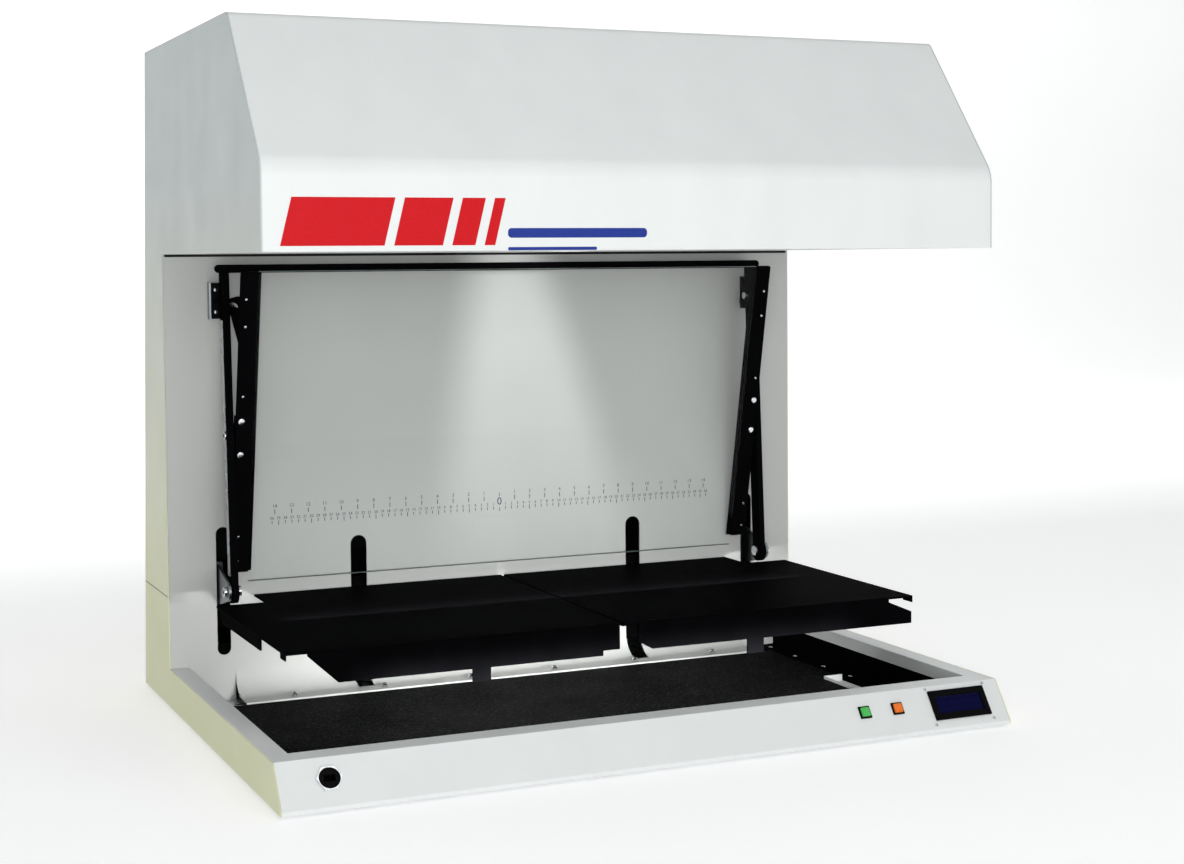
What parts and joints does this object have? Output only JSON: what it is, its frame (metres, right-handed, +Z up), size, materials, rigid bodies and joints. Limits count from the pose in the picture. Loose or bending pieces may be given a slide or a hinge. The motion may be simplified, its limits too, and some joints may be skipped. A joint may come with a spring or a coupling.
{
  "type": "overhead book scanner",
  "caption": "Table-top overhead book scanner: C-shaped cabinet with camera hood, floating two-part book cradle, folding glass plate and sloping control panel.",
  "frame": {"origin": "middle of the footprint, on the surface the feet stand on", "axes": "+X to the right as the user sees it, -Y towards the user and the control panel, +Z up"},
  "size_m": [1.03, 0.807, 0.96],
  "materials": {
    "white_paint": "satin powder coat",
    "side_paint": "satin powder coat",
    "wall_paint": "matt powder coat",
    "black_paint": "fine-texture powder coat",
    "black_mat": "grained",
    "zinc_steel": "zinc-plated sheet",
    "bracket_steel": "satin",
    "zinc_screw": "bright zinc",
    "polished_rod": "ground and polished",
    "carriage_aluminium": "machined",
    "window_plastic": "clear and opal",
    "foot_rubber": "matt",
    "black_plastic": "moulded",
    "display_blue": "gloss",
    "lens_black": "gloss",
    "lamp_glass": "opal",
    "circuit_board": "solder mask",
    "clear_glass": "clear float",
    "green_cap": "translucent",
    "orange_cap": "translucent",
    "rocker_plastic": "gloss",
    "front_mirror": "front-silvered"
  },
  "bodies": {
    "cabinet": {"base_pan": "zinc_steel", "left_base_side": "side_paint", "right_base_side": "side_paint", "base_rim": "white_paint", "front_panel": "white_paint", "tray_mat": "black_mat", "side_channels": "black_paint", "back_wall": "wall_paint", "cover_screws": "zinc_screw", "left_side_panel": "side_paint", "right_side_panel": "side_paint", "hood_cover": "white_paint", "hood_underside": "white_paint", "hood_windows": "window_plastic", "rear_cover": "side_paint", "uprights": "zinc_steel", "hood_beams": "zinc_steel", "cross_member": "zinc_steel", "rubber_feet": "foot_rubber", "lcd_bezel": "black_plastic", "lcd_screen": "display_blue", "button_collars": "black_plastic", "port_socket": "black_plastic", "port_nut": "zinc_screw", "wall_catches": "black_plastic", "guide_rods": "polished_rod", "lift_actuator": "black_plastic", "optics_deck": "zinc_steel", "camera_body": "black_plastic", "camera_lens": "lens_black", "mirror_bracket": "zinc_steel", "lamp_tubes": "lamp_glass", "main_board": "circuit_board", "power_supply": "zinc_steel", "power_inlet": "black_plastic", "fan_frame": "black_plastic"},
    "carriage": {"carriage_beam": "black_paint", "carriage_bushings": "carriage_aluminium", "left_pivot_bracket": "bracket_steel", "right_pivot_bracket": "bracket_steel", "pivot_bolts": "zinc_screw", "actuator_rod": "polished_rod"},
    "swing_frame": {"left_swing_arm": "black_paint", "right_swing_arm": "black_paint", "cross_bar": "black_paint", "swing_pins": "zinc_screw"},
    "glass_frame": {"left_glass_bar": "black_paint", "right_glass_bar": "black_paint", "glass_pane": "clear_glass"},
    "left_cradle": {"left_cradle_slide": "black_paint", "left_cradle_carrier": "black_paint", "left_cradle_plate": "black_paint"},
    "right_cradle": {"right_cradle_slide": "black_paint", "right_cradle_carrier": "black_paint", "right_cradle_plate": "black_paint"},
    "green_button": {"green_button": "green_cap"},
    "orange_button": {"orange_button": "orange_cap"},
    "scan_mirror": {"scan_mirror": "front_mirror"},
    "fan_rotor": {"fan_rotor": "black_plastic"},
    "power_rocker": {"power_rocker": "rocker_plastic"}
  },
  "joints": [
    {"name": "carriage_lift", "type": "slide", "parent": "cabinet", "child": "carriage", "axis": [0, 0, 1], "range_m": [-0.045, 0.012]},
    {"name": "left_cradle_float", "type": "slide", "parent": "carriage", "child": "left_cradle", "axis": [0, 0, 1], "range_m": [-0.04, 0], "stiffness_N_per_m": 900, "springref_m": 0.13},
    {"name": "right_cradle_float", "type": "slide", "parent": "carriage", "child": "right_cradle", "axis": [0, 0, 1], "range_m": [-0.04, 0], "stiffness_N_per_m": 900, "springref_m": 0.13},
    {"name": "glass_swing", "type": "hinge", "parent": "carriage", "child": "swing_frame", "pos_m": [0, 0.168, 0.175], "axis": [1, 0, 0], "range_deg": [0, 92]},
    {"name": "glass_tilt", "type": "hinge", "parent": "swing_frame", "child": "glass_frame", "pos_m": [0, 0.18117, 0.40002], "axis": [1, 0, 0], "range_deg": [-14, 0.1]},
    {"name": "green_button_press", "type": "slide", "parent": "cabinet", "child": "green_button", "axis": [0, 0.817, -0.5767], "range_m": [0, 0.0025], "stiffness_N_per_m": 400, "springref_m": -0.002},
    {"name": "orange_button_press", "type": "slide", "parent": "cabinet", "child": "orange_button", "axis": [0, 0.817, -0.5767], "range_m": [0, 0.0025], "stiffness_N_per_m": 400, "springref_m": -0.002},
    {"name": "mirror_scan", "type": "hinge", "parent": "cabinet", "child": "scan_mirror", "pos_m": [0, -0.06, 0.83], "axis": [1, 0, 0], "range_deg": [-12, 12]},
    {"name": "fan_spin", "type": "hinge", "parent": "cabinet", "child": "fan_rotor", "pos_m": [0.376, 0.24, 0.79], "axis": [0, 1, 0], "continuous": true},
    {"name": "power_switch", "type": "hinge", "parent": "cabinet", "child": "power_rocker", "pos_m": [-0.394, 0.39447, 0.06973], "axis": [1, 0, 0], "range_deg": [0, 24]}
  ],
  "couplings": [
    {"joint": "glass_tilt", "follows": "glass_swing", "ratio": -0.15109}
  ]
}
